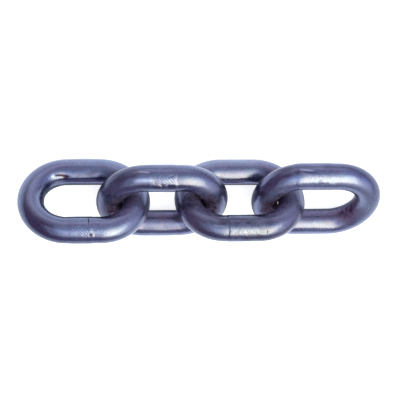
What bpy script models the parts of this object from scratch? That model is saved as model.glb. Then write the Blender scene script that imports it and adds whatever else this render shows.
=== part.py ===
"""Four links of short-link steel chain, lying straight and taut on a floor.

Each link is one piece: a length of round bar bent to an oval and butt-welded shut in the middle of an arm.
Metres, +Z up. +X runs along the chain, the floor is z = 0, and the origin is on it below the chain's middle.
"""

import math

import bpy

# Driving dimensions. A chain maker works everything out from the bar.
BAR_DIAMETER = 0.013
PITCH = 3.0 * BAR_DIAMETER  # inside length of a link
OUTSIDE_WIDTH = 3.7 * BAR_DIAMETER
LINK_COUNT = 4
LEAN = math.radians(45)  # a lying chain's links lean this far off the floor, to alternate sides
PLAY = 0.0003  # left between two bars where one link hooks the next
WELD_LENGTH = 1.2 * BAR_DIAMETER
WELD_SWELL = 0.03  # how much thicker the trimmed weld is, as a share of the bar

# How finely a link is faceted. 20 sides put a flat, and not a corner, at 45 degrees to the link's plane.
BAR_SIDES = 20
CROWN_STEPS = 20
WELD_STEPS = 8

# Worked out from the above.
BAR_RADIUS = BAR_DIAMETER / 2
CORNER_RADIUS = BAR_RADIUS / math.cos(math.pi / BAR_SIDES)  # so that the flats lie at the bar's radius
ARM_OFFSET = (OUTSIDE_WIDTH - BAR_DIAMETER) / 2  # from the link's long axis to the middle of an arm
CROWN_REACH = (PITCH + BAR_DIAMETER) / 2  # from the link's centre to the middle of a crown's bar
ARM_HALF_LENGTH = CROWN_REACH - ARM_OFFSET
HOOK_DISTANCE = 2 * CORNER_RADIUS + PLAY  # between the middles of two bars that hook each other
AXIS_HEIGHT = ARM_OFFSET * math.sin(LEAN) + BAR_RADIUS

# Oiled, hardened steel: dark blue-grey with a sheen.
STEEL_COLOR = (0.13, 0.15, 0.25, 1.0)
STEEL_METALLIC = 1.0
STEEL_ROUGHNESS = 0.35


def clear_scene():
    for obj in list(bpy.data.objects):
        bpy.data.objects.remove(obj)


def oiled_steel():
    material = bpy.data.materials.new("oiled_steel")
    material.use_nodes = True
    shader = material.node_tree.nodes["Principled BSDF"]
    shader.inputs["Base Color"].default_value = STEEL_COLOR
    shader.inputs["Metallic"].default_value = STEEL_METALLIC
    shader.inputs["Roughness"].default_value = STEEL_ROUGHNESS
    material.diffuse_color = STEEL_COLOR
    return material


def bar_thickness(along):
    """The bar's radius over its nominal one, this far along an arm from the weld: a rounded swell."""
    if abs(along) >= WELD_LENGTH / 2:
        return 1.0
    return 1.0 + WELD_SWELL * math.cos(math.pi * along / WELD_LENGTH) ** 2


def crown_points(side):
    """The inner points of a half-round crown, anticlockwise. side is 1 at +X and -1 at -X."""
    points = []
    for step in range(1, CROWN_STEPS):
        angle = math.pi * (step / CROWN_STEPS - side / 2)
        x = side * ARM_HALF_LENGTH + ARM_OFFSET * math.cos(angle)
        points.append((x, ARM_OFFSET * math.sin(angle), 1.0))
    return points


def link_centreline():
    """(x, y, thickness) round a link in its own plane, with the weld in the middle of the arm at +Y."""
    plain_arm = [(-ARM_HALF_LENGTH, -ARM_OFFSET, 1.0), (ARM_HALF_LENGTH, -ARM_OFFSET, 1.0)]
    welded_arm = []
    for step in range(WELD_STEPS + 1):
        x = ARM_HALF_LENGTH * (1 - 2 * step / WELD_STEPS)
        welded_arm.append((x, ARM_OFFSET, bar_thickness(x)))
    return plain_arm + crown_points(1) + welded_arm + crown_points(-1)


def link_bar():
    """One link as a closed round bar, centred on its own origin and flat in its own XY plane."""
    curve = bpy.data.curves.new("link_bar", "CURVE")
    curve.dimensions = "3D"
    curve.twist_mode = "Z_UP"
    curve.bevel_depth = CORNER_RADIUS
    curve.bevel_resolution = (BAR_SIDES - 4) // 2
    centreline = link_centreline()
    spline = curve.splines.new("POLY")
    spline.points.add(len(centreline) - 1)
    for point, (x, y, thickness) in zip(spline.points, centreline):
        point.co = (x, y, 0, 1)
        point.radius = thickness
    spline.use_cyclic_u = True
    spline.use_smooth = True
    return curve


def add_object(collection, name, data, parent, location, turn_about_x):
    obj = bpy.data.objects.new(name, data)
    obj.parent = parent
    obj.location = location
    obj.rotation_euler = (turn_about_x, 0, 0)
    collection.objects.link(obj)
    return obj


def lay_chain(collection):
    """Hooks each link into the one before it.

    An empty sits on the bar of each crown that carries a next link, and its Y axis is the line that the
    next link swings about. Each link is turned a quarter from its neighbours, with its weld uppermost.
    """
    bar = link_bar()
    bar.materials.append(oiled_steel())
    link_spacing = 2 * CROWN_REACH - HOOK_DISTANCE
    first_x = -link_spacing * (LINK_COUNT - 1) / 2
    quarter = 2 * LEAN
    link = add_object(collection, "link_1", bar, None, (first_x, 0, AXIS_HEIGHT), LEAN + quarter)
    for number in range(2, LINK_COUNT + 1):
        quarter = -quarter
        pivot = add_object(
            collection, f"swing_{number}_line", None, link, (CROWN_REACH, 0, 0), 0
        )
        link = add_object(
            collection,
            f"link_{number}",
            bar.copy(),
            pivot,
            (CROWN_REACH - HOOK_DISTANCE, 0, 0),
            quarter,
        )


def main():
    clear_scene()
    collection = bpy.data.collections.new("steel_chain")
    bpy.context.scene.collection.children.link(collection)
    lay_chain(collection)


main()
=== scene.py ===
# %% [markdown]
# # A short run of steel chain
#
# Four links of short-link chain lie in a straight line, pulled taut. Each is a length of round steel bar,
# bent to an oval and butt-welded shut in the middle of an arm. The steel is dark and bluish, as it comes
# out of the hardening furnace, with a thin film of oil on it.
#
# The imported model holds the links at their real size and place. This script replaces each with a finer
# surface that has the same centreline, and gives it the marks and the finish that the real one has.

# %% Load the frame
import math

import bpy
import numpy as np
from mathutils import Matrix, Vector


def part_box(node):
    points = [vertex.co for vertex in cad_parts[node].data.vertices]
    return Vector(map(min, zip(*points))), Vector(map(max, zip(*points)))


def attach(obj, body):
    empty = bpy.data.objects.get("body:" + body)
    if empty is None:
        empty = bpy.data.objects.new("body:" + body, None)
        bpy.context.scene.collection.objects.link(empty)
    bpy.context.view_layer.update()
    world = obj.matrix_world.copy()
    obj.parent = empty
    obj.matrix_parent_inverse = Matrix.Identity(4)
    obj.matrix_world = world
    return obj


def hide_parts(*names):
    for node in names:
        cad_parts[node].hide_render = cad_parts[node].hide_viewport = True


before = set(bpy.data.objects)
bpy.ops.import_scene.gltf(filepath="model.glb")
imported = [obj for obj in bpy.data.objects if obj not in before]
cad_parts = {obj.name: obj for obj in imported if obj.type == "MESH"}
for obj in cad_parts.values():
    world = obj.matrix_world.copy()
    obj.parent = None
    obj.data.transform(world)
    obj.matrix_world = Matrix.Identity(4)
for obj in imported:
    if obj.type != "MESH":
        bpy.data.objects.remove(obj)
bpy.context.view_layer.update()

link_names = sorted(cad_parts)

# %% [markdown]
# ## One link's sizes
#
# A chain maker works from the bar: short-link chain is three bars long inside and 3.7 bars wide outside,
# whatever its size. The links lean 45 degrees, to alternate sides, because each is hooked a quarter turn
# from the last. The places of the links come from the frame, so the fine surfaces lie on the solids.

# %% The link's centreline, in metres
MM = 0.001
BAR_RADIUS = 6.5 * MM
ARM_OFFSET = 1.35 * 2 * BAR_RADIUS  # from the link's long axis to the middle of an arm
CROWN_REACH = 4 * BAR_RADIUS  # from the link's centre to the middle of a crown's bar
ARM_HALF = CROWN_REACH - ARM_OFFSET  # half of an arm's straight stretch
CROWN_LENGTH = math.pi * ARM_OFFSET
CROWN_MIDDLE = ARM_HALF + CROWN_LENGTH / 2  # along the bar, from the weld to the middle of a crown
BAR_LENGTH = 4 * ARM_HALF + 2 * CROWN_LENGTH
BAR_GIRTH = 2 * math.pi * BAR_RADIUS
LEAN = math.radians(45)
AXIS_HEIGHT = ARM_OFFSET * math.sin(LEAN) + BAR_RADIUS
print("bar length", round(BAR_LENGTH / MM, 1), "mm, girth", round(BAR_GIRTH / MM, 1), "mm")

# %% [markdown]
# ## The camera
#
# The photograph looks almost straight down on the chain with a long lens. The far side of each window
# shows a little, so the camera stands slightly towards the far side, and the right end is a little nearer
# to it than the left. Distance, tilts and lens were found by laying the link's outline over the
# photograph's.

# %% Set the camera
IMAGE_SIDE = 400  # pixels
CAMERA_DISTANCE = 46.8 * 2 * BAR_RADIUS
CAMERA_TILT = math.radians(6.6)  # past straight down, towards +Y
CAMERA_SWING = math.radians(6.03)  # towards -X
CAMERA_ROLL = math.radians(0.454)
PIXELS_PER_BAR = 26.23  # the bar's thickness in the photograph, at the chain's axis
CHAIN_MIDDLE_PIXEL = (201.0, 200.1)


def add_camera():
    """A camera aimed at the point of the chain's axis plane that is in the middle of the photograph."""
    turn = Matrix.Rotation(CAMERA_ROLL, 3, "Z") @ Matrix.Rotation(CAMERA_SWING, 3, "Y")
    turn = (turn @ Matrix.Rotation(CAMERA_TILT, 3, "X")).transposed()
    metres_per_pixel = 2 * BAR_RADIUS / PIXELS_PER_BAR
    off_x = (IMAGE_SIDE / 2 - CHAIN_MIDDLE_PIXEL[0]) * metres_per_pixel
    off_y = (CHAIN_MIDDLE_PIXEL[1] - IMAGE_SIDE / 2) * metres_per_pixel
    data = bpy.data.cameras.new("camera")
    data.lens = data.sensor_width * PIXELS_PER_BAR * CAMERA_DISTANCE / (2 * BAR_RADIUS) / IMAGE_SIDE
    camera = bpy.data.objects.new("camera", data)
    middle = Vector((0, 0, AXIS_HEIGHT))
    camera.location = middle + turn @ Vector((off_x, off_y, CAMERA_DISTANCE))
    camera.rotation_euler = turn.to_euler()
    bpy.context.scene.collection.objects.link(camera)
    bpy.context.scene.camera = camera
    return camera


camera = add_camera()
print("lens", round(camera.data.lens, 1), "mm, camera at", [round(place, 3) for place in camera.location])

# %% [markdown]
# ## The studio
#
# Oiled steel has hardly a colour of its own: it shows what is around it. So the light is most of the
# likeness. The metal mirrors one broad, slightly warm light above the right of the chain, a weak one
# nearly overhead, a dim room that is darkest to the left, and a bright white table all round the edges of
# each bar.

# %% Helpers for node trees
WHITE = (1, 1, 1, 1)


def add_range(tree, value, low, high, to_low=0.0, to_high=1.0):
    """A value that goes from one number to another while its input goes from low to high."""
    node = tree.nodes.new("ShaderNodeMapRange")
    node.inputs["From Min"].default_value = low
    node.inputs["From Max"].default_value = high
    node.inputs["To Min"].default_value = to_low
    node.inputs["To Max"].default_value = to_high
    tree.links.new(value, node.inputs["Value"])
    return node.outputs["Result"]


def add_math(tree, operation, *values):
    """One operation on values, each a plain number or another node's output."""
    node = tree.nodes.new("ShaderNodeMath")
    node.operation = operation
    for socket, value in zip(node.inputs, values):
        if isinstance(value, (int, float)):
            socket.default_value = value
        else:
            tree.links.new(value, socket)
    return node.outputs[0]


def add_sum(tree, total, *values):
    """The sum of several values."""
    for value in values:
        total = add_math(tree, "ADD", total, value)
    return total


def add_mix(tree, share, first, second, blend="MIX"):
    """A colour made from two, each a plain colour or another node's output."""
    node = tree.nodes.new("ShaderNodeMix")
    node.data_type = "RGBA"
    node.blend_type = blend
    for key, value in (("Factor", share), ("A", first), ("B", second)):
        if isinstance(value, (float, tuple)):
            node.inputs[key].default_value = value
        else:
            tree.links.new(value, node.inputs[key])
    return node.outputs["Result"]


def add_camera_switch(tree, for_camera, for_steel, output):
    """Shows one surface to the camera's own rays, and another to all others, which the steel mirrors."""
    either = tree.nodes.new("ShaderNodeMixShader")
    tree.links.new(tree.nodes.new("ShaderNodeLightPath").outputs["Is Camera Ray"], either.inputs["Fac"])
    tree.links.new(for_steel, either.inputs[1])
    tree.links.new(for_camera, either.inputs[2])
    tree.links.new(either.outputs["Shader"], output.inputs["Surface"])


# %% The lights
CEILING = 1.5  # height of the lamps above the chain, in metres
LAMPS = {  # left, right, front and back edges, and radiance in red, green and blue
    "key": ((0.25, 0.62, -1.25, -0.12), (4.50, 4.30, 2.15)),
    "key_right": ((0.62, 1.05, -1.25, -0.12), (3.30, 3.25, 1.80)),
    "key_near": ((0.085, 0.25, -1.25, -0.12), (4.20, 4.20, 2.45)),
    "key_back": ((0.085, 1.05, -0.12, 0.04), (2.95, 3.20, 2.20)),
    "key_far": ((0.085, 1.05, 0.04, 0.34), (1.60, 1.95, 1.50)),
    "fill": ((-0.10, 0.085, -0.60, -0.12), (1.75, 2.15, 1.85)),
    "fill_left": ((-0.36, -0.10, -0.60, -0.12), (1.08, 1.34, 1.38)),
    "fill_front": ((-0.36, 0.085, -1.1, -0.60), (0.92, 1.08, 0.95)),
    "fill_middle": ((-0.36, 0.085, -0.12, 0.04), (1.15, 1.50, 1.52)),
    "fill_back": ((-0.36, 0.085, 0.04, 0.34), (0.56, 0.87, 1.00)),
    "left": ((-0.9, -0.36, -1.1, 0.34), (0.35, 0.46, 0.46)),
    "back": ((-0.36, 1.05, 0.34, 0.9), (0.36, 0.54, 0.52)),
}


def add_lamp(name, edges, radiance):
    """A flat soft lamp that hangs level above the chain.

    Its edges are given as sideways distance over height.
    """
    left, right, front, back = edges
    data = bpy.data.lights.new(name, "AREA")
    data.shape = "RECTANGLE"
    data.size = (right - left) * CEILING
    data.size_y = (back - front) * CEILING
    strongest = max(radiance)
    data.color = [value / strongest for value in radiance]
    data.energy = strongest * math.pi * data.size * data.size_y
    lamp = bpy.data.objects.new(name, data)
    lamp.location = ((left + right) / 2 * CEILING, (front + back) / 2 * CEILING, AXIS_HEIGHT + CEILING)
    lamp.visible_camera = False
    bpy.context.scene.collection.objects.link(lamp)
    return lamp


for name, (edges, radiance) in LAMPS.items():
    add_lamp(name, edges, radiance)

# %% The room
ROOM_COLOR = (0.225, 0.155, 0.25)
GLOWS = {  # direction, how tightly the glow gathers round it, colour
    "far wall": ((0.0, 1.0, 0.14), 6.0, (0.92, 1.02, 0.92)),
    "right": ((1.0, 0.0, 0.50), 8.0, (0.58, 0.74, 0.92)),
    "right back": ((0.5, 0.8, 0.45), 8.0, (0.20, 0.24, 0.34)),
    "key spill": ((0.7, -0.7, 0.58), 8.0, (1.00, 1.10, 0.98)),
    "front": ((0.0, -1.0, 0.10), 8.0, (0.02, 0.07, 0.16)),
}


def add_glow(tree, total, direction, toward, tightness, color):
    """The room's colour with one more soft glow.

    Its strength is exp(tightness * (cosine - 1)), where the cosine is of the angle from the glow's middle.
    """
    cosine = tree.nodes.new("ShaderNodeVectorMath")
    cosine.operation = "DOT_PRODUCT"
    cosine.inputs[1].default_value = Vector(toward).normalized()
    tree.links.new(direction, cosine.inputs[0])
    power = add_math(tree, "MULTIPLY_ADD", cosine.outputs["Value"], tightness, -tightness)
    return add_mix(tree, add_math(tree, "EXPONENT", power), total, (*color, 1), "ADD")


def add_room():
    """A world that the steel sees as a dim colour with a few soft glows, and the camera as plain white."""
    world = bpy.data.worlds.new("room")
    world.use_nodes = True
    tree = world.node_tree
    direction = tree.nodes.new("ShaderNodeTexCoord").outputs["Generated"]
    total = (*ROOM_COLOR, 1)
    for toward, tightness, color in GLOWS.values():
        total = add_glow(tree, total, direction, toward, tightness, color)
    dim = tree.nodes["Background"]
    tree.links.new(total, dim.inputs["Color"])
    pale = tree.nodes.new("ShaderNodeBackground")
    pale.inputs["Color"].default_value = WHITE
    surface = tree.nodes["World Output"]
    add_camera_switch(tree, pale.outputs["Background"], dim.outputs["Background"], surface)
    bpy.context.scene.world = world


add_room()
bpy.context.scene.view_settings.view_transform = "Standard"

# %% The table
TABLE_COLOR = (0.62, 0.63, 0.67, 1)
TABLE_GLOW = 0.78
TABLE_ROUGHNESS = 0.9
TABLE_SIDE = 8  # metres
FLOOR_COLOR = (0.36, 0.38, 0.40, 1)
FLOOR_SHADE = (0.03, 0.03, 0.04, 1)
FLOOR_GLOW = (0.93, 1.04, 1.10, 1)
FLOOR_BRIGHTNESS = (  # distance from the chain's axis in metres, and how bright the floor is for the steel
    (0.012, 0.26),
    (0.024, 1.15),
    (0.090, 0.86),
    (0.300, 0.72),
    (0.900, 0.0),
)
LEFT_DIMMING = (-0.30, 0.00, 0.45, 1.0)  # two places in metres, and the share of brightness at each
RIGHT_DIMMING = (0.06, 0.12, 1.0, 0.75)
FRONT_DIMMING = (-0.10, -0.03, 0.80, 1.0)
CHAIN_HALF = 0.058  # from the chain's middle to about that of its last link, in metres


def add_ramp(tree, value, stops):
    """Grey that goes straight from stop to stop, each a value and a brightness."""
    node = tree.nodes.new("ShaderNodeValToRGB")
    reach = stops[-1][0]
    while len(node.color_ramp.elements) < len(stops):
        node.color_ramp.elements.new(0.5)
    for element, (place, brightness) in zip(node.color_ramp.elements, stops):
        element.position = place / reach
        element.color = (brightness, brightness, brightness, 1)
    tree.links.new(add_range(tree, value, 0.0, reach), node.inputs["Fac"])
    return node.outputs["Color"]


def add_distance_from_chain(tree):
    """(distance from the chain's axis, x, y).

    The distance is the length of (x, y) after x has been brought nearer by up to the chain's half length.
    """
    axes = tree.nodes.new("ShaderNodeSeparateXYZ")
    tree.links.new(tree.nodes.new("ShaderNodeTexCoord").outputs["Object"], axes.inputs[0])
    sideways = axes.outputs["X"]
    within = add_range(tree, sideways, -CHAIN_HALF, CHAIN_HALF, -CHAIN_HALF, CHAIN_HALF)
    past = tree.nodes.new("ShaderNodeCombineXYZ")
    tree.links.new(add_math(tree, "SUBTRACT", sideways, within), past.inputs["X"])
    tree.links.new(axes.outputs["Y"], past.inputs["Y"])
    length = tree.nodes.new("ShaderNodeVectorMath")
    length.operation = "LENGTH"
    tree.links.new(past.outputs["Vector"], length.inputs[0])
    return length.outputs["Value"], sideways, axes.outputs["Y"]


def add_table():
    """A plain white table.

    The camera sees it white all over, a little bright of itself, so that shadows stay faint. The steel
    mirrors a floor that is dark in the chain's own shade, brightest close beside it, dimmer past both ends
    and in front, and fades out within a metre.
    """
    bpy.ops.mesh.primitive_plane_add(size=TABLE_SIDE)
    table = bpy.context.object
    table.name = "table"
    material = bpy.data.materials.new("white_table")
    material.use_nodes = True
    tree = material.node_tree
    white = tree.nodes["Principled BSDF"]
    white.inputs["Roughness"].default_value = TABLE_ROUGHNESS
    white.inputs["Base Color"].default_value = TABLE_COLOR
    white.inputs["Emission Color"].default_value = WHITE
    white.inputs["Emission Strength"].default_value = TABLE_GLOW
    floor = tree.nodes.new("ShaderNodeBsdfPrincipled")
    floor.inputs["Roughness"].default_value = TABLE_ROUGHNESS
    floor.inputs["Emission Color"].default_value = FLOOR_GLOW
    distance, sideways, back = add_distance_from_chain(tree)
    lit = add_ramp(tree, distance, FLOOR_BRIGHTNESS)
    for place, dimming in ((sideways, LEFT_DIMMING), (sideways, RIGHT_DIMMING), (back, FRONT_DIMMING)):
        lit = add_math(tree, "MULTIPLY", lit, add_range(tree, place, *dimming))
    tree.links.new(add_mix(tree, lit, FLOOR_SHADE, FLOOR_COLOR), floor.inputs["Base Color"])
    tree.links.new(lit, floor.inputs["Emission Strength"])
    add_camera_switch(tree, white.outputs["BSDF"], floor.outputs["BSDF"], tree.nodes["Material Output"])
    table.data.materials.append(material)


add_table()

# %% [markdown]
# ## The shape of a link
#
# A link's centreline is every point at one distance from a short straight segment, so it can be walked in
# one formula: a point goes along the segment, and the arm's offset stands out from it in a direction that
# turns half a turn round each end. The walk starts at the weld, where the two ends of the bar met.

# %% The centreline and the bar's surface
ALONG_STEPS = 800
AROUND_STEPS = 120
along, around = np.meshgrid(
    np.arange(ALONG_STEPS) * BAR_LENGTH / ALONG_STEPS,
    np.arange(AROUND_STEPS) * 2 * math.pi / AROUND_STEPS,
    indexing="ij",
)
from_weld = (along + BAR_LENGTH / 2) % BAR_LENGTH - BAR_LENGTH / 2


def centreline(distance):
    """(places, outward directions) of the bar's middle, in the link's own plane.

    The core slides from 0 to -h, to +h and back to 0 along the segment. The outward direction starts at +y
    and turns by the crown's share of the walk over the offset. The place is the core plus offset times
    direction.
    """
    first = np.clip(distance - ARM_HALF, 0, CROWN_LENGTH)
    second = np.clip(distance - 3 * ARM_HALF - CROWN_LENGTH, 0, CROWN_LENGTH)
    core = (
        -np.clip(distance, 0, ARM_HALF)
        + np.clip(distance - ARM_HALF - CROWN_LENGTH, 0, 2 * ARM_HALF)
        - np.clip(distance - 3 * ARM_HALF - 2 * CROWN_LENGTH, 0, ARM_HALF)
    )
    angle = math.pi / 2 + (first + second) / ARM_OFFSET
    outward = np.stack([np.cos(angle), np.sin(angle), np.zeros_like(angle)], axis=-1)
    places = ARM_OFFSET * outward
    places[..., 0] += core
    return places, outward


def bar_surface(height):
    """Points of the bar's surface, from how far each stands proud of the round bar.

    A point is the centreline plus radius and height along a direction that turns with the angle around:
    outward at 0, to the side of the link's plane at 90 degrees, and inward at 180 degrees.
    """
    places, outward = centreline(along)
    upward = np.array([0.0, 0.0, 1.0])
    side = np.cos(around)[..., None] * outward + np.sin(around)[..., None] * upward
    return places + (BAR_RADIUS + height)[..., None] * side


def side_of(number):
    """-1 for the odd links, which have the weld on the arm in front, and 1 for the even ones."""
    return -1 if number % 2 else 1


def place_in_chain(name, number, points):
    """Turns a link's points about the chain's axis, to its side, and moves them to its node's middle."""
    lean = LEAN if side_of(number) > 0 else math.pi - LEAN
    low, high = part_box(name)
    middle = np.array([(low.x + high.x) / 2, 0, AXIS_HEIGHT])
    return points @ np.array(Matrix.Rotation(lean, 3, "X")).T + middle


# %% Arms that bow out a little
BOWS = {  # link: bow of the welded arm and of the other arm, in millimetres
    1: (0.30, 0.80),
    2: (-0.20, 0.45),
    3: (0.10, 0.20),
    4: (0.25, 0.50),
}


def bow(number):
    """How far each point of the bar moves along Y: out by its arm's bow at the middle, not at the crowns.

    An arm's share is the square of cos(2 pi distance / bar length), where that is positive for the welded
    arm, and where it is negative for the other.
    """
    welded, other = BOWS[number]
    phase = np.cos(2 * math.pi * from_weld / BAR_LENGTH)
    outward = welded * np.clip(phase, 0, 1) ** 2 - other * np.clip(-phase, 0, 1) ** 2
    return outward * MM * side_of(number)


# %% [markdown]
# ## Marks on the bar
#
# A bar that has been drawn, bent, welded, hammered and tumbled isn't a smooth tube, and bright metal
# shows it: a dent of a few hundredths of a millimetre bends a highlight. All of these are heights on the
# same grid. Waves and grain are noise that is blurred to a size. A ring of grid points has no ends, and
# blurring in waves (a Fourier transform) keeps it so.

# %% Tools for heights on the grid
def grain(seed, along_size, around_size):
    """Random heights with a mean of 0 and a spread of 1, in patches of these sizes, in millimetres.

    White noise is taken apart into waves. Of a wave of frequency f, exp(-2 (pi size f)^2) is kept, and the
    waves are put together again.
    """
    noise = np.random.default_rng(seed).standard_normal(along.shape)
    along_waves = np.fft.fftfreq(ALONG_STEPS, BAR_LENGTH / ALONG_STEPS)[:, None]
    around_waves = np.fft.fftfreq(AROUND_STEPS, BAR_GIRTH / AROUND_STEPS)[None, :]
    across_patch = (along_size * MM * along_waves) ** 2 + (around_size * MM * around_waves) ** 2
    kept = np.exp(-2 * math.pi**2 * across_patch)
    kept[0, 0] = 0
    heights = np.fft.ifft2(np.fft.fft2(noise) * kept).real
    return heights / heights.std()


def turn_from(angle):
    """How far round each grid point is from an angle in degrees, as metres on the bar's surface."""
    off = (around - math.radians(angle) + math.pi) % (2 * math.pi) - math.pi
    return off * BAR_RADIUS


def walk_from(distance):
    """How far along the bar each grid point is from a distance from the weld."""
    return (from_weld - distance + BAR_LENGTH / 2) % BAR_LENGTH - BAR_LENGTH / 2


def rise(values, edge, softness):
    """0 below an edge and 1 above it: 1 / (1 + exp(-4 (value - edge) / softness))."""
    return 1 / (1 + np.exp(-4 * (values - edge) / softness))


def streak(distance, angle, length, width, lean=0.0):
    """A rounded stroke of height 1: exp(-(along / half length)^4 - (across / half width)^2).

    Sizes are in millimetres, and across is measured from a line that leans by so much for each unit along.
    """
    u, v = walk_from(distance * MM), turn_from(angle)
    return np.exp(-((2 * u / (length * MM)) ** 4) - (2 * (v - lean * u) / (width * MM)) ** 2)


# %% The weld
WELDS = {  # link: start and end of the collar, how gently each rises, then how much of crumbs and of lumps
    1: (-3.6, 7.2, 1.2, 2.4, 0.7, 0.3),
    2: (-5.8, 7.6, 1.0, 2.6, 0.8, 1.0),
    3: (-12.0, 7.3, 5.0, 0.7, 1.2, 0.5),
    4: (-6.0, 12.0, 3.0, 1.3, 0.8, 0.5),
}
SCORES = {  # link: middle and length of the score, and how much of it
    1: (2.0, 10.0, 1.0),
    2: (-2.2, 8.4, 0.8),
    3: (0.1, 8.4, 0.25),
    4: (1.5, 8.4, 0.15),
}
WELD_HEIGHT = 0.15 * MM
RIM_RAG = 0.35 * MM
SCORE_WIDTH = 4.6  # mm
SCORE_PITCH = 1.45 * MM
SCORE_LEAN = 0.8  # how far a stroke runs along the bar for each unit round it
SCORE_TURN = 4  # degrees round the bar, from its top to the score's middle
SCORE_WOBBLE = 0.22 * MM
SCORE_DEPTH = 0.06 * MM
CRUMB_HEIGHT = 0.008 * MM
LUMP_HEIGHT = 0.09 * MM
LUMP_LIMIT = 1.2
WINDOW_TURN = 30  # degrees round the bar, from its top to the bead on the side towards the window
BEAD = (-1.0, 11.5, 1.9)  # middle, length and width of the bead, in millimetres
CRUMBLY = (3, 22, 6.0)  # the same for where crumbs lie thick
SCORE_BARE = 1.3  # how bare the metal is on the score's crests
CRUMB_BARE = 0.10
# Painted shade: the scale is painted darker in the hollows between the lumps.
HOLLOW_SHADE = 0.35  # how dark the scale is in the hollows between lumps


def score_strokes(number, seed, top):
    """The short strokes of the shear: crests of a wave that leans, of uneven height and a little wobbly."""
    middle, length, scored = SCORES[number]
    wobble = SCORE_WOBBLE * grain(seed + 1, 2, 1.2)
    wave = np.cos(2 * math.pi * (from_weld + SCORE_LEAN * turn_from(top) + wobble) / SCORE_PITCH)
    pressure = np.clip(0.5 * grain(seed + 2, 1.6, 1.0) + 0.9, 0, 1.6)
    field = streak(middle, top + SCORE_TURN, length, SCORE_WIDTH)
    return scored * pressure * field * (np.clip(wave, 0, 1) ** 1.5 - 0.3)


def weld_marks(number, seed, top):
    """(heights, bare metal) of the collar that the butt weld squeezed out and a shear trimmed off.

    It is a low step with a ragged rim. The shear scored its upper side with short strokes that lean, and
    left crumbs, and a row of lumps on the side towards the window. Below 0, the second value is painted
    shade in the hollows between the lumps.
    """
    low, high, low_softness, high_softness, crumbled, lumpy = WELDS[number]
    ragged = from_weld + RIM_RAG * grain(seed, 1.2, 0.9)
    collar = rise(ragged, low * MM, low_softness * MM) - rise(ragged, high * MM, high_softness * MM)
    strokes = score_strokes(number, seed, top)
    window_turn = WINDOW_TURN * side_of(number)
    bead = streak(BEAD[0], top + window_turn, *BEAD[1:])
    crumbly = 0.25 + streak(CRUMBLY[0], top - window_turn / 2, *CRUMBLY[1:]) + bead
    crumbs = crumbled * grain(seed + 3, 0.30, 0.32)
    lumps = lumpy * bead * np.clip(grain(seed + 4, 0.60, 0.45), -LUMP_LIMIT, LUMP_LIMIT)
    heights = WELD_HEIGHT * collar + SCORE_DEPTH * strokes + CRUMB_HEIGHT * crumbs * crumbly * collar
    heights = heights + LUMP_HEIGHT * lumps
    crests = SCORE_BARE * np.clip(strokes, 0, 1)
    bare_and_highlight = collar * (crests + CRUMB_BARE * np.clip(crumbs - 0.5, 0, 3) * crumbly)
    return heights, bare_and_highlight - HOLLOW_SHADE * np.clip(-lumps, 0, 1)


# %% Nicks, scratches and flats
# Bareness above 0 is bare metal, and at the two marks noted below a painted highlight; below 0 it is dark
# scale.
NICKS = {  # link: distance from the weld, angle, length, width, lean, height, and bareness (burnt below 0)
    1: (
        (60.3, 219, 9.0, 1.1, -0.20, -0.09, -1.6),  # a lap in the arm that wasn't welded
        (62.8, 206, 3.4, 2.0, 0.0, -0.04, -0.8),
        # a painted highlight: a pale spot where the far arm catches the light
        (54.4, 229, 2.6, 2.4, 0.0, 0.04, 0.9),
        (58.0, 192, 6.0, 0.5, 0.0, 0.05, 0.4),
        (-2.9, 327, 1.6, 1.4, 0.0, -0.08, -1.0),  # a notch at the end of the weld
        (-2.0, 262, 0.6, 4.5, 0.0, -0.06, -1.0),  # the seam, towards the window
        (30.0, 95, 16.0, 0.5, 0.0, 0.03, 0.3),
        (74.0, 224, 26.0, 5.0, 0.0, -0.12, 0.0),  # a flat
    ),
    2: (
        (9.6, 13, 4.2, 0.6, -0.14, 0.06, 1.0),
        # a painted highlight: a pale patch that brightens the highlight on the arm
        (10.0, 47, 8.0, 2.0, 0.0, 0.0, 0.6),
        (-3.0, 28, 2.8, 0.7, 0.30, 0.06, 0.4),
        (-3.0, 33, 2.8, 0.7, 0.30, -0.04, -0.8),
        (-37.0, 60, 6.0, 0.5, 0.12, 0.03, 0.4),
        (-44.0, 40, 5.0, 0.4, 0.10, 0.03, 0.4),
        (68.0, 132, 20.0, 5.0, 0.0, -0.15, 0.0),  # a flat
    ),
    3: (
        (7.4, 322, 0.5, 4.5, 0.0, -0.05, -0.6),
        (-10.6, 326, 0.5, 1.8, 0.0, -0.07, -0.8),
        (12.0, 300, 5.0, 0.6, 0.1, 0.04, 0.5),
        (70.0, 182, 11.0, 0.8, 0.0, -0.05, -0.5),
        (88.0, 222, 50.0, 6.0, 0.0, -0.24, 0.0),  # a flat
        (67.0, 176, 14.0, 5.0, 0.0, 0.30, 0.0),  # a low ridge
    ),
    4: (
        (7.7, 13, 5.2, 0.7, -0.10, 0.07, 1.0),
        (6.6, 22, 6.5, 0.7, -0.08, -0.05, -0.8),
        (11.8, 18, 2.2, 1.6, 0.0, -0.05, -0.5),
        (1.0, 62, 1.8, 1.8, 0.0, 0.12, -0.2),
        (-35.0, 92, 7.0, 0.35, 0.0, 0.02, 0.7),
        (-58.0, 132, 20.0, 5.0, 0.0, -0.20, 0.0),  # a flat
    ),
}


def nick_marks(number):
    """(heights, bareness) of a link's marks from bending, welding and handling, and two painted highlights.
    """
    heights, bare_and_highlight = 0, 0
    for distance, angle, length, width, lean, height, paleness in NICKS[number]:
        stroke = streak(distance, angle, length, width, lean)
        heights = heights + height * MM * stroke
        bare_and_highlight = bare_and_highlight + paleness * stroke
    return heights, bare_and_highlight


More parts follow.
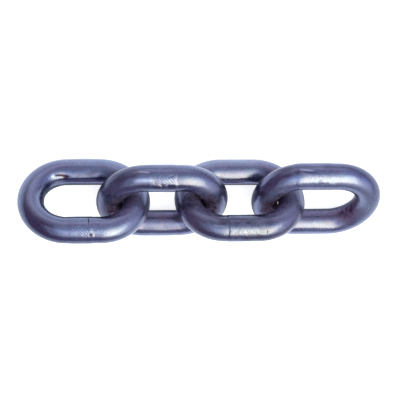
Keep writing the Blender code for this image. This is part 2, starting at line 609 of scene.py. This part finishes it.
# %% Waves, drawing lines and pits
WAVES = (0.035, 6, 4)  # height, and size along and round the bar, in millimetres
RIPPLES = (0.012, 2.5, 1.8)
DRAWING_LINES = (0.0032, 7, 0.35)
PITS = (0.0050, 0.35, 0.35)
TOOLED_REACH = 58 * MM  # how far from the weld the bar was worked
TOOLED_SOFTNESS = 8 * MM
UNTOOLED_LOSS = 0.65


def rough(seed, height, along_size, around_size):
    """Random heights with this spread, in patches of these sizes."""
    return height * MM * grain(seed, along_size, around_size)


def bar_marks(seed):
    """Long low waves from bending, fine lines along the drawn bar, and a tumbled grain.

    Lines and grain are fainter on the arm that wasn't welded, which no tool has touched.
    """
    waves = rough(seed, *WAVES) + rough(seed + 1, *RIPPLES)
    fine = rough(seed + 2, *DRAWING_LINES) + rough(seed + 3, *PITS)
    return waves + fine * (1 - UNTOOLED_LOSS * rise(np.abs(from_weld), TOOLED_REACH, TOOLED_SOFTNESS))


# %% The seat, where the next link bears
SEAT_HEIGHT = 0.20 * MM
SEAT_SPREAD = 4 * MM


def seat():
    """The bar is a little fuller inside each crown, so that hooked links all but touch, as under load.

    The fullness is exp(-(distance from the crown's inner middle / spread)^2).
    """
    fullness = 0
    for distance in (CROWN_MIDDLE, -CROWN_MIDDLE):
        u, v = walk_from(distance), turn_from(180)
        fullness = fullness + np.exp(-(u**2 + v**2) / SEAT_SPREAD**2)
    return SEAT_HEIGHT * fullness


# %% [markdown]
# ## The state of the scale
#
# The furnace leaves the scale uneven. It is darker where it burnt on thick, beside the welds and here and
# there on the arms, and paler where tumbling has frosted it. Many of the dark patches are painted shade and
# painted dark reflections as well: on inner faces, near the hooks and in bands beside the highlights. Where
# two links rub, dust and grease gather, and they also paint the shade in the hooks; a thin band of dust,
# which is painted shade, lies on some inner faces. Each of these is a value at every point of the same
# grid, for the material to read.

# %% Burnt scale with painted shade, and frosted scale
# Dark patches: burnt-on scale beside the welds, and painted shade and painted dark reflections on inner
# faces, near the hooks and in bands beside the highlights.
BURNS_AND_SHADE = {  # link: distance from the weld, angle, length, width, and how dark
    1: (
        (-66.0, 222, 26.0, 5.0, 0.55),
    ),
    2: (
        (-12.0, 15, 30.0, 7.0, 0.20),
        (0.0, 80, 28.0, 3.0, 0.40),
        (72.0, 175, 70.0, 7.0, 0.22),
        (22.0, 345, 18.0, 7.0, 0.50),
        (37.0, 75, 18.0, 9.0, 0.30),
        (-37.0, 100, 18.0, 7.0, 0.30),
    ),
    3: (
        (0.0, 275, 34.0, 9.0, 0.55),
        (2.0, 355, 24.0, 5.0, 0.20),
        (37.0, 285, 20.0, 8.0, 0.35),
        (24.0, 15, 18.0, 6.0, 0.25),
        (-8.0, 12, 18.0, 6.0, 0.45),
        (-55.0, 228, 16.0, 6.0, 0.45),
        (94.0, 222, 16.0, 6.0, 0.40),
    ),
    4: (
        (-12.0, 5, 30.0, 6.0, 0.12),
        (72.0, 175, 70.0, 7.0, 0.18),
        (20.0, 340, 22.0, 6.0, 0.50),
        (37.0, 95, 18.0, 8.0, 0.35),
    ),
}
FROSTS = {  # link: the same, and how pale
    1: (
        (-28.0, 335, 36.0, 7.0, 0.80),
        (36.0, 325, 20.0, 6.0, 0.60),
        (-52.0, 268, 20.0, 8.0, 1.00),
        (88.0, 285, 60.0, 5.0, 0.50),
    ),
    2: (
        (88.0, 75, 60.0, 6.0, 0.60),
        (8.0, 95, 12.0, 4.0, 0.60),
    ),
    3: (
        (88.0, 285, 76.0, 6.0, 0.80),
        (-37.0, 320, 16.0, 5.0, 1.00),
    ),
    4: (
        (-34.0, 80, 66.0, 7.0, 0.90),
        (-36.0, 132, 22.0, 7.0, 1.00),
        (12.0, 72, 40.0, 5.0, 1.20),
    ),
}


def uneven(seed, along_size, around_size):
    """A share near 1 that varies in patches of these sizes, in millimetres."""
    return np.clip(1 + 0.25 * grain(seed, along_size, around_size), 0, 2)


def patches(places, seed):
    """Soft patches of uneven strength, from a list of their places and strengths."""
    total = sum(amount * streak(*place) for *place, amount in places)
    return total * uneven(seed, 1.2, 0.8)


# %% Dust, grease and painted shade where links rub
# Dust, grease and painted shade on the hooked crowns: inward, where the next link shades the crown, they
# make it dark and dull.
HOOKS = {  # link: dust, grease and inwardness where grease starts, on the crowns after and before the weld
    1: ((0.0, 0.0, 0.0), (1.0, 0.5, 0.1)),
    2: ((0.7, 1.0, -0.2), (0.7, 1.0, -0.1)),
    3: ((1.0, 0.6, 0.0), (1.0, 0.5, 0.1)),
    4: ((0.7, 1.0, -0.2), (0.15, 0.0, 0.0)),
}
# The dust on the window side of the far arms is painted shade and painted dark reflection.
DUST_AND_SHADE_PATCHES = {  # link: distance from the weld, angle, length, width and amount of the dust outside the hooks
    1: (),
    2: ((88.0, 172, 80.0, 6.0, 0.45),),
    3: (),
    4: ((88.0, 172, 70.0, 6.0, 0.45), (-47.0, 151, 22.0, 8.0, 0.65)),
}
DUST_AND_SHADE_REACH = 19 * MM  # along the bar, from a hooked crown's middle
DUST_AND_SHADE_SOFTNESS = 9 * MM
DUST_AND_SHADE_OUTSIDE = 0.15  # the share of the dust that lies on the crown's outer face too
DUST_AND_SHADE_INWARD = (0.30, 1.2)  # the inwardness at which dust is half thick, and how gently it thickens
GREASE_AND_SHADE_REACH = 8 * MM
GREASE_AND_SHADE_SOFTNESS = 6 * MM
GREASE_AND_SHADE_INWARD_SOFTNESS = 0.6
GREASE_IN_DUST_AND_SHADE = 0.5


def grime_and_shade(number, seed):
    """(dust, grease), each from 0 to 1.

    A point's inwardness is -cos(angle round the bar), from -1 outside to 1 inside. Dust thickens with it,
    out to its reach from a hooked crown's middle. Grease fills the middle, from its own inwardness on. The
    other patches of dust hold some grease as well. Both are painted shade as well as dust and grease: they
    make the hooks and some inner faces dark and dull, where shade falls.
    """
    inward = -np.cos(around) + 0.08 * grain(seed, 1.4, 1.4)
    ragged = rough(seed + 1, 1.5, 2, 2)
    dust_and_shade = patches(DUST_AND_SHADE_PATCHES[number], seed + 3)
    grease_and_shade = GREASE_IN_DUST_AND_SHADE * dust_and_shade
    for side, (dusty_and_shaded, greasy_and_shaded, start) in zip((1, -1), HOOKS[number]):
        off = np.abs(walk_from(side * CROWN_MIDDLE)) + ragged
        thickness = DUST_AND_SHADE_OUTSIDE + (1 - DUST_AND_SHADE_OUTSIDE) * rise(inward, *DUST_AND_SHADE_INWARD)
        dust_and_shade = dust_and_shade + dusty_and_shaded * (1 - rise(off, DUST_AND_SHADE_REACH, DUST_AND_SHADE_SOFTNESS)) * thickness
        inside = rise(inward, start, GREASE_AND_SHADE_INWARD_SOFTNESS)
        grease_and_shade = grease_and_shade + greasy_and_shaded * (1 - rise(off, GREASE_AND_SHADE_REACH, GREASE_AND_SHADE_SOFTNESS)) * inside
    patchy = uneven(seed + 2, 0.45, 0.45)
    return np.clip(dust_and_shade * patchy, 0, 1), np.clip(grease_and_shade * patchy, 0, 1)


# %% [markdown]
# ## The steel
#
# Hardened steel keeps a thin, hard scale. It is a dark, bluish metal, glossy where it has rubbed and
# frosted with fine pits elsewhere. One principled shader gives it: metallic, with a dark bluish base
# colour. Noise on the bar's own coordinates, stretched along it, varies colour, gloss and a fine bump, so
# that the pattern bends with the bar. The values on the grid then lay burns, dust, grease and bare
# scratches over it, and with them painted shade, painted dark reflections and two painted highlights.

# %% The steel's material
DARK_STEEL = (0.140, 0.128, 0.235, 1)
PALE_STEEL = (0.205, 0.225, 0.370, 1)
WARM_FILM = (1.03, 0.98, 0.99, 1)
COOL_FILM = (0.96, 1.03, 1.02, 1)
# Burnt, dust and grease also paint shade and dark reflections; bare also paints two highlights.
COVERS = {  # mark: the colour it gives to what is under it, in the order in which the marks lie
    "burnt_and_shade": (0.022, 0.012, 0.032, 1),
    "dust_and_shade": (0.138, 0.098, 0.225, 1),
    "grease_and_shade": (0.056, 0.017, 0.060, 1),
    "bare_and_highlight": (0.42, 0.42, 0.58, 1),
}
TINTS = {  # link: its own shade, since each bar went through the furnace by itself
    1: (1.01, 1.01, 1.02, 1),
    2: (0.97, 0.96, 0.98, 1),
    3: (1.04, 1.01, 0.98, 1),
    4: (1.00, 0.985, 1.03, 1),
}
NOISES = {  # name: cells per millimetre along and across the bar, detail and roughness
    "clouds": ((0.12, 0.25), 3, 0.5),
    "mottle": ((0.9, 1.1), 3, 0.65),
    "fine": ((2.6, 2.6), 2, 0.5),
    "lines": ((0.07, 1.7), 3, 0.6),
    "film": ((0.30, 0.55), 2, 0.6),
}
PALE_RANGE = (1.35, 2.45)  # the sum of noises for dark steel, and for pale steel
FINE_SHARE = 1.6  # of the fine noise in that sum
FILM_RANGE = (0.35, 0.65)  # the noise for a warm film, and for a cool one
LINE_RANGE = (0.3, 0.7)
DARK_ROUGHNESS = 0.11
PALE_ROUGHNESS = 0.27
LINE_ROUGHNESS = 0.03  # how much lines add or take off
DUST_AND_SHADE_ROUGHNESS = 0.12  # how much dust adds
GREASE_AND_SHADE_ROUGHNESS = 0.32
METALLIC_UNDER_DUST_AND_SHADE = 0.1
LINE_RELIEF = 0.6
BUMP_DEPTH = 0.054 * MM
BUMP_STRENGTH = 0.5


def add_noise(tree, vector, cells, detail, roughness):
    """Noise on the bar's coordinates, with so many cells per millimetre along and across the bar."""
    mapping = tree.nodes.new("ShaderNodeMapping")
    mapping.inputs["Scale"].default_value = (cells[0] / MM, cells[1] / MM, cells[1] / MM)
    tree.links.new(vector, mapping.inputs["Vector"])
    noise = tree.nodes.new("ShaderNodeTexNoise")
    noise.inputs["Scale"].default_value = 1.0
    noise.inputs["Detail"].default_value = detail
    noise.inputs["Roughness"].default_value = roughness
    tree.links.new(mapping.outputs["Vector"], noise.inputs["Vector"])
    return noise.outputs["Fac"]


def add_attribute(tree, name, output="Fac"):
    """A value or vector that is kept on the mesh."""
    node = tree.nodes.new("ShaderNodeAttribute")
    node.attribute_name = name
    return node.outputs[output]


def steel_color(tree, number, noise, pale, marks):
    """Dark to pale steel, tinted by its film and its link's shade, with each mark laid over it."""
    film = add_mix(tree, add_range(tree, noise["film"], *FILM_RANGE), WARM_FILM, COOL_FILM)
    color = add_mix(tree, 1.0, add_mix(tree, pale, DARK_STEEL, PALE_STEEL), film, "MULTIPLY")
    color = add_mix(tree, 1.0, color, TINTS[number], "MULTIPLY")
    for mark, cover in COVERS.items():
        color = add_mix(tree, marks[mark], color, cover)
    return color


def steel_roughness(tree, noise, pale, marks):
    """Glossy where the scale is dark, dull where pale, and duller under lines, dust, grease and painted
    shade.
    """
    scale = add_range(tree, pale, 0, 1, DARK_ROUGHNESS, PALE_ROUGHNESS)
    lines = add_range(tree, noise["lines"], *LINE_RANGE, -LINE_ROUGHNESS, LINE_ROUGHNESS)
    dusty_and_shaded = add_math(tree, "MULTIPLY", marks["dust_and_shade"], DUST_AND_SHADE_ROUGHNESS)
    greasy_and_shaded = add_math(tree, "MULTIPLY", marks["grease_and_shade"], GREASE_AND_SHADE_ROUGHNESS)
    return add_sum(tree, scale, lines, dusty_and_shaded, greasy_and_shaded)


def steel_bump(tree, noise, pale):
    """A fine grain where the steel is pale, and fine lines along the bar."""
    grainy = add_math(tree, "MULTIPLY", noise["fine"], pale)
    relief = add_sum(tree, grainy, add_math(tree, "MULTIPLY", noise["lines"], LINE_RELIEF))
    bump = tree.nodes.new("ShaderNodeBump")
    bump.inputs["Strength"].default_value = BUMP_STRENGTH
    bump.inputs["Distance"].default_value = BUMP_DEPTH
    tree.links.new(relief, bump.inputs["Height"])
    return bump.outputs["Normal"]


def steel_material(name, number):
    """One link's steel. Its number shifts the noise along, so that no two links look the same.

    Dust hides the metal under it, and grease only darkens it; both also paint the shade in the hooks.
    """
    material = bpy.data.materials.new(name)
    material.use_nodes = True
    tree = material.node_tree
    shader = tree.nodes["Principled BSDF"]
    place = tree.nodes.new("ShaderNodeMapping")
    place.inputs["Location"].default_value = (number, 0, 0)
    tree.links.new(add_attribute(tree, "bar", "Vector"), place.inputs["Vector"])
    noise = {key: add_noise(tree, place.outputs["Vector"], *values) for key, values in NOISES.items()}
    marks = {mark: add_attribute(tree, mark) for mark in COVERS}
    fine = add_math(tree, "MULTIPLY", noise["fine"], FINE_SHARE)
    patchy = add_sum(tree, noise["clouds"], noise["mottle"], add_attribute(tree, "frost"), fine)
    pale = add_range(tree, patchy, *PALE_RANGE)
    metallic = add_range(tree, marks["dust_and_shade"], 0, 1, 1.0, METALLIC_UNDER_DUST_AND_SHADE)
    metallic = add_math(tree, "MAXIMUM", metallic, marks["grease_and_shade"])
    tree.links.new(steel_color(tree, number, noise, pale, marks), shader.inputs["Base Color"])
    tree.links.new(metallic, shader.inputs["Metallic"])
    tree.links.new(steel_roughness(tree, noise, pale, marks), shader.inputs["Roughness"])
    tree.links.new(steel_bump(tree, noise, pale), shader.inputs["Normal"])
    return material


# %% Make the links
CLOUDING = 0.15  # how much large clouds add to the frosting


def grid_mesh(name, points):
    """A closed mesh from points[along, around], which join up both ways, with the bar's coordinates on it.

    The coordinates are (distance from the weld, radius * cosine, radius * sine). They are kept on face
    corners, so that the last row of faces reaches the full length and doesn't run back to 0.
    """
    numbers = np.arange(points.shape[0] * points.shape[1]).reshape(points.shape[:2])
    rows, columns = numbers.shape
    row_steps = np.array([0, 1, 1, 0])
    column_steps = np.array([0, 0, 1, 1])
    row = np.arange(rows)[:, None, None] + row_steps
    column = np.arange(columns)[None, :, None] + column_steps
    row, column = np.broadcast_arrays(row, column)
    corners = numbers[row % rows, column % columns].reshape(-1)
    mesh = bpy.data.meshes.new(name)
    mesh.vertices.add(numbers.size)
    mesh.vertices.foreach_set("co", points.reshape(-1).astype(np.float32))
    mesh.loops.add(corners.size)
    mesh.loops.foreach_set("vertex_index", corners.astype(np.int32))
    mesh.polygons.add(numbers.size)
    mesh.polygons.foreach_set("loop_start", np.arange(0, corners.size, 4, dtype=np.int32))
    mesh.polygons.foreach_set("use_smooth", np.ones(numbers.size, bool))
    mesh.update(calc_edges=True)
    mesh.validate()
    share, turned = row / rows, column / columns
    angle = 2 * math.pi * turned
    bar = np.stack([share * BAR_LENGTH, BAR_RADIUS * np.cos(angle), BAR_RADIUS * np.sin(angle)], axis=-1)
    on_corners = mesh.attributes.new("bar", "FLOAT_VECTOR", "CORNER")
    on_corners.data.foreach_set("vector", bar.reshape(-1).astype(np.float32))
    chart = np.stack([share, turned], axis=-1)
    mesh.uv_layers.new(name="unrolled").data.foreach_set("uv", chart.reshape(-1).astype(np.float32))
    return mesh


def paint(mesh, name, values):
    """Keeps a value of each grid point on the mesh, for its material to read."""
    on_points = mesh.attributes.new(name, "FLOAT", "POINT")
    on_points.data.foreach_set("value", values.reshape(-1).astype(np.float32))


def make_link(name):
    """One link's fine surface, with its marks and its steel, in place of the solid of the same name."""
    number = int(name.split("_")[1])
    seed = 100 * number
    top = 45 * side_of(number)  # the angle round the bar that faces up on the welded arm
    weld_height, weld_bare_and_shade = weld_marks(number, seed, top)
    nick_height, nick_bare_and_highlight = nick_marks(number)
    height = weld_height + nick_height + bar_marks(seed + 10) + seat()
    points = place_in_chain(name, number, bar_surface(height))
    points[..., 1] += bow(number)
    mesh = grid_mesh(name + "_steel", points)
    # Bare metal and two painted highlights; below 0, painted shade in the weld's hollows and dark scale in
    # the nicks.
    bare_and_highlight = weld_bare_and_shade + nick_bare_and_highlight
    # Burnt scale and painted shade, with the dark marks below 0 of the bareness.
    burnt_and_shade = patches(BURNS_AND_SHADE[number], seed + 40) + np.clip(-bare_and_highlight, 0, 1)
    # Dust and grease, which also paint the shade in the hooks and on inner faces.
    dust_and_shade, grease_and_shade = grime_and_shade(number, seed + 30)
    frost = CLOUDING * grain(seed + 20, 5, 4) + patches(FROSTS[number], seed + 41)
    paint(mesh, "frost", frost)
    paint(mesh, "burnt_and_shade", np.clip(burnt_and_shade, 0, 1))
    paint(mesh, "dust_and_shade", dust_and_shade)
    paint(mesh, "grease_and_shade", grease_and_shade)
    paint(mesh, "bare_and_highlight", np.clip(bare_and_highlight, 0, 1))
    mesh.materials.append(steel_material(name + "_steel", number))
    piece = bpy.data.objects.new(name + "_steel", mesh)
    bpy.context.scene.collection.objects.link(piece)
    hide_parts(name)
    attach(piece, name)
    print(name, "heights from", round(height.min() / MM, 2), "to", round(height.max() / MM, 2), "mm")


for name in link_names:
    make_link(name)
